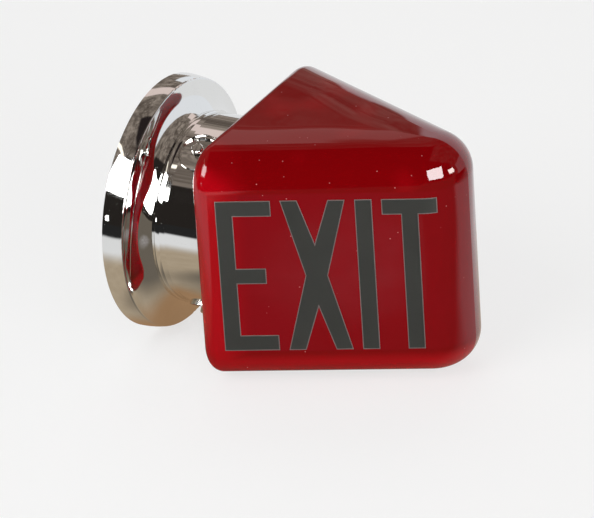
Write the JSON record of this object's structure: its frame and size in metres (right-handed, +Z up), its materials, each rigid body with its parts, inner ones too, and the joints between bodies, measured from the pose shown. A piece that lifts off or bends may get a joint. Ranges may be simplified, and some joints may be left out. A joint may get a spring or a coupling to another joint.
{
  "type": "wall exit light",
  "caption": "Wedge-shaped ruby glass exit light that stands out of a wall on a round spun metal holder, with a lampholder and lamp inside.",
  "frame": {"origin": "middle of the two box screws of the mounting strap, on the wall, on the axis of the round holder", "axes": "+Z up, the wall is the plane Y = 0 and the light stands out of it along -Y, +X to the right as one faces the wall"},
  "size_m": [0.1424, 0.1895, 0.1424],
  "materials": {
    "chromed_sheet": "polished, with the fine rings of spinning and small dimples round the set screws",
    "ruby_glass": "glossy blown glass with frosted letters on both broad faces",
    "chromed_screw": "polished",
    "plated_steel": "plain zinc plating",
    "brass": "plain",
    "fibre_paper": "matt insulating card",
    "phenolic": "moulded",
    "lamp_glass": "frosted inside"
  },
  "bodies": {
    "holder": {"canopy_holder": "chromed_sheet", "exit_globe": "ruby_glass", "web_plate": "plated_steel", "mounting_strap": "plated_steel", "nipple": "plated_steel", "strap_nut": "plated_steel", "web_washer": "plated_steel", "web_nut": "plated_steel", "socket_cap": "brass", "cap_set_screw": "brass", "socket_shell": "brass", "insulating_liner": "fibre_paper", "socket_interior": "phenolic", "screw_shell": "brass", "centre_contact": "brass", "terminal_plates": "brass", "terminal_screws": "brass", "shell_rivets": "brass", "lamp": "lamp_glass"},
    "set_screw_1": {"set_screw_1": "chromed_screw"},
    "set_screw_2": {"set_screw_2": "chromed_screw"},
    "set_screw_3": {"set_screw_3": "chromed_screw"}
  },
  "joints": [
    {"name": "set_screw_1_slide", "type": "slide", "parent": "holder", "child": "set_screw_1", "axis": [-0.4695, 0, 0.8829], "range_m": [0, 0.0035]},
    {"name": "set_screw_2_slide", "type": "slide", "parent": "holder", "child": "set_screw_2", "axis": [-0.5299, 0, -0.848], "range_m": [0, 0.0035]},
    {"name": "set_screw_3_slide", "type": "slide", "parent": "holder", "child": "set_screw_3", "axis": [0.9994, 0, -0.0349], "range_m": [0, 0.0035]}
  ]
}
